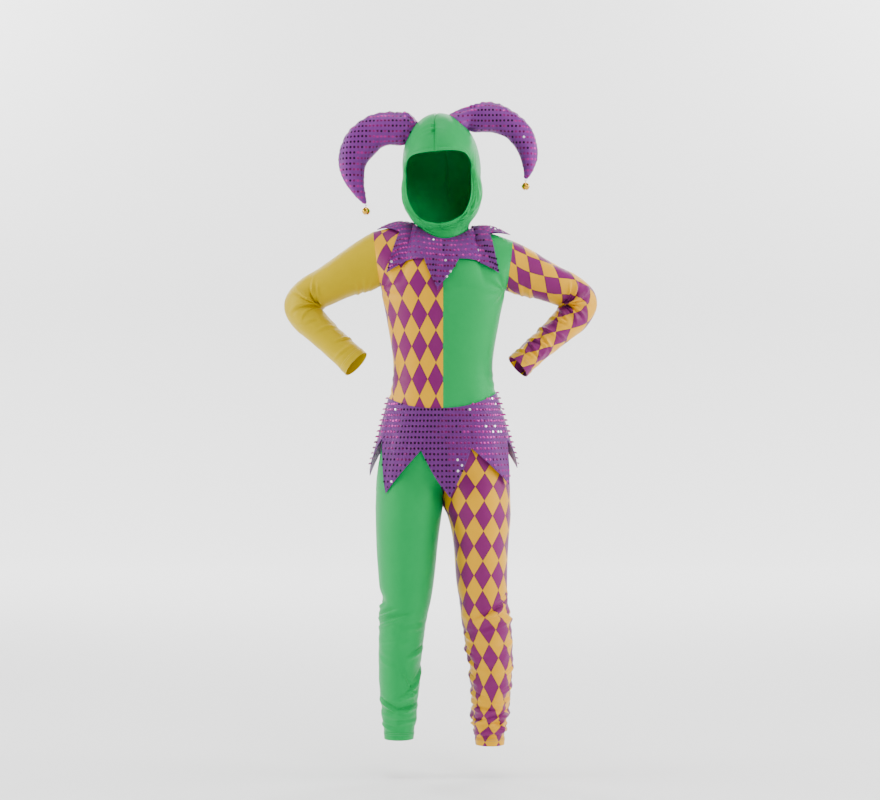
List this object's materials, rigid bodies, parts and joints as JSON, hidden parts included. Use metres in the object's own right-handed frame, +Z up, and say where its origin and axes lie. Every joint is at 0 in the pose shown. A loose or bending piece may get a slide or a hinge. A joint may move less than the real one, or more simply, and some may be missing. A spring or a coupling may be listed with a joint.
{
  "type": "child's jester costume",
  "caption": "One-piece two-coloured jumpsuit in a hands-on-hips pose, with a pointed sequinned collar and peplum, and a hood with stuffed horns that end in round bells.",
  "frame": {"origin": "the middle of the neck at shoulder height, where the wearer's body carries the costume", "axes": "+Z up, the front faces -Y, +X towards the wearer's left"},
  "size_m": [0.5993, 0.1909, 1.2371],
  "materials": {
    "green_knit": "stretch knit with a soft sheen, kelly green",
    "yellow_knit": "stretch knit with a soft sheen, plain yellow",
    "diamond_knit": "stretch knit printed with purple and orange-yellow diamonds",
    "sequin_cloth": "purple cloth with rows of small shiny discs",
    "bell_metal": "polished yellow metal",
    "sewing_thread": "twisted purple thread"
  },
  "bodies": {
    "costume": {"body_front_right": "diamond_knit", "body_front_left": "green_knit", "body_back_right": "diamond_knit", "body_back_left": "green_knit", "sleeve_right": "yellow_knit", "sleeve_left": "diamond_knit", "leg_front_right": "green_knit", "leg_back_right": "green_knit", "leg_front_left": "diamond_knit", "leg_back_left": "diamond_knit", "collar": "sequin_cloth", "peplum": "sequin_cloth", "hood_right": "green_knit", "hood_left": "green_knit", "horn_right": "sequin_cloth", "horn_left": "sequin_cloth", "bell_thread_right": "sewing_thread", "bell_thread_left": "sewing_thread"},
    "bell_right": {"bell_right": "bell_metal"},
    "bell_left": {"bell_left": "bell_metal"}
  },
  "joints": [
    {"name": "bell_swing_right", "type": "hinge", "parent": "costume", "child": "bell_right", "pos_m": [-0.14791, 0.00385, 0.03743], "axis": [1, 0, 0], "range_deg": [-40, 40]},
    {"name": "bell_swing_left", "type": "hinge", "parent": "costume", "child": "bell_left", "pos_m": [0.15896, 0.01088, 0.08568], "axis": [1, 0, 0], "range_deg": [-40, 40]}
  ]
}
